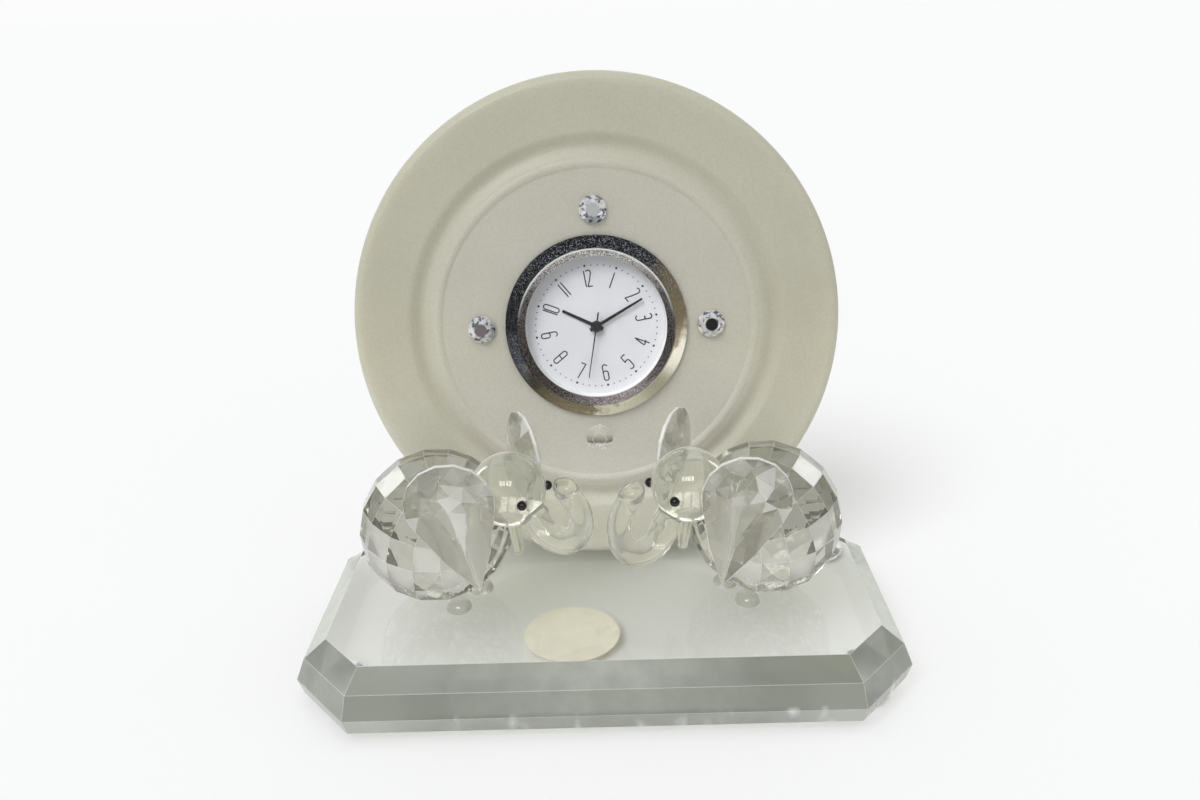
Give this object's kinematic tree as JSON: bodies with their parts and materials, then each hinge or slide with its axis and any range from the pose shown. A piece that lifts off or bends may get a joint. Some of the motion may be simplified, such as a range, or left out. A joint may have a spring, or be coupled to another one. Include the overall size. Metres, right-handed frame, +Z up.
{
  "type": "desk clock",
  "caption": "Crystal desk clock: bevelled glass base, leaning frosted glass disc with a push-fit quartz insert, and a pair of cut glass elephants.",
  "frame": {"origin": "on the table under the middle of the clock's outer box", "axes": "+X right as the viewer reads the dial, +Y away from the viewer, +Z up"},
  "size_m": [0.1172, 0.0704, 0.1095],
  "materials": {
    "clear_glass": "polished clear glass with a faint green edge",
    "frosted_glass": "satin frosted glass",
    "cut_crystal": "cut and polished crystal",
    "foiled_crystal": "faceted crystal with a silver foil back",
    "clear_vinyl": "clear soft bumper",
    "label_paper": "cream paper label",
    "black_enamel": "black bead",
    "chrome_bezel": "polished and lightly worn chrome",
    "mineral_lens": "flat polished lens",
    "white_dial": "matt white printed dial",
    "white_plastic": "moulded white plastic",
    "gold_can": "pressed and plated brass",
    "steel": "fine brushed steel",
    "black_rubber": "ribbed rubber",
    "grey_plastic": "moulded dark plastic",
    "green_board": "fibre board",
    "copper_coil": "enamelled copper winding",
    "wheel_brass": "stamped brass wheels",
    "black_hands": "black lacquered hands"
  },
  "bodies": {
    "stand": {"base_block": "clear_glass", "base_bumpers": "clear_vinyl", "base_label": "label_paper", "frosted_disc": "frosted_glass", "foiled_markers": "foiled_crystal", "clear_marker": "cut_crystal", "left_body": "cut_crystal", "left_head": "clear_glass", "left_trunk": "clear_glass", "left_near_ear": "cut_crystal", "left_far_ear": "cut_crystal", "left_eyes": "black_enamel", "left_feet": "clear_glass", "right_body": "cut_crystal", "right_head": "clear_glass", "right_trunk": "clear_glass", "right_near_ear": "cut_crystal", "right_far_ear": "cut_crystal", "right_eyes": "black_enamel", "right_feet": "clear_glass"},
    "insert": {"bezel": "chrome_bezel", "lens": "mineral_lens", "dial_surround": "white_plastic", "dial": "white_dial", "case_can": "gold_can", "grip_ring": "black_rubber", "back_cover": "steel", "movement_ring": "white_plastic", "main_plate": "grey_plastic", "circuit_board": "green_board", "quartz_crystal": "steel", "coil": "copper_coil", "stator": "steel", "button_cell": "steel", "cell_clip": "wheel_brass", "train_bridge": "wheel_brass", "bridge_screws": "steel"},
    "seconds": {"seconds_wheel": "wheel_brass", "second_hand": "black_hands"},
    "third": {"third_wheel": "wheel_brass"},
    "minutes": {"centre_wheel": "wheel_brass", "minute_hand": "black_hands"},
    "motion": {"minute_wheel": "wheel_brass"},
    "hours": {"hour_wheel": "wheel_brass", "hour_hand": "black_hands"},
    "intermediate": {"intermediate_wheel": "white_plastic"},
    "rotor": {"rotor": "steel"},
    "lever": {"setting_lever": "steel"},
    "stem": {"setting_stem": "steel", "crown": "chrome_bezel"}
  },
  "joints": [
    {"name": "insert_slide", "type": "slide", "parent": "stand", "child": "insert", "axis": [0, -0.9781, 0.2079], "range_m": [0, 0.012]},
    {"name": "seconds_turn", "type": "hinge", "parent": "insert", "child": "seconds", "pos_m": [0, 0.01547, 0.06112], "axis": [0, -0.9781, 0.2079], "continuous": true},
    {"name": "third_turn", "type": "hinge", "parent": "insert", "child": "third", "pos_m": [-0.0027, 0.01568, 0.06211], "axis": [0, -0.9781, 0.2079], "continuous": true},
    {"name": "minutes_turn", "type": "hinge", "parent": "insert", "child": "minutes", "pos_m": [0, 0.01547, 0.06112], "axis": [0, -0.9781, 0.2079], "continuous": true},
    {"name": "motion_turn", "type": "hinge", "parent": "insert", "child": "motion", "pos_m": [-0.00139, 0.01507, 0.05921], "axis": [0, -0.9781, 0.2079], "continuous": true},
    {"name": "hours_turn", "type": "hinge", "parent": "insert", "child": "hours", "pos_m": [0, 0.01547, 0.06112], "axis": [0, -0.9781, 0.2079], "continuous": true},
    {"name": "intermediate_turn", "type": "hinge", "parent": "insert", "child": "intermediate", "pos_m": [0.00002, 0.01597, 0.06347], "axis": [0, -0.9781, 0.2079], "continuous": true},
    {"name": "rotor_turn", "type": "hinge", "parent": "insert", "child": "rotor", "pos_m": [0.00085, 0.01644, 0.06565], "axis": [0, -0.9781, 0.2079], "continuous": true},
    {"name": "crown_pull", "type": "slide", "parent": "insert", "child": "lever", "axis": [0.9863, 0.0343, 0.1614], "range_m": [0, 0.0008]},
    {"name": "crown_turn", "type": "hinge", "parent": "lever", "child": "stem", "pos_m": [0.00493, 0.01809, 0.06141], "axis": [0.9863, 0.0343, 0.1614], "continuous": true}
  ],
  "couplings": [
    {"joint": "third_turn", "follows": "seconds_turn", "ratio": -0.13333},
    {"joint": "minutes_turn", "follows": "seconds_turn", "ratio": 0.016667},
    {"joint": "motion_turn", "follows": "seconds_turn", "ratio": -0.0055556},
    {"joint": "hours_turn", "follows": "seconds_turn", "ratio": 0.0013889},
    {"joint": "intermediate_turn", "follows": "seconds_turn", "ratio": -5},
    {"joint": "rotor_turn", "follows": "seconds_turn", "ratio": 30}
  ]
}
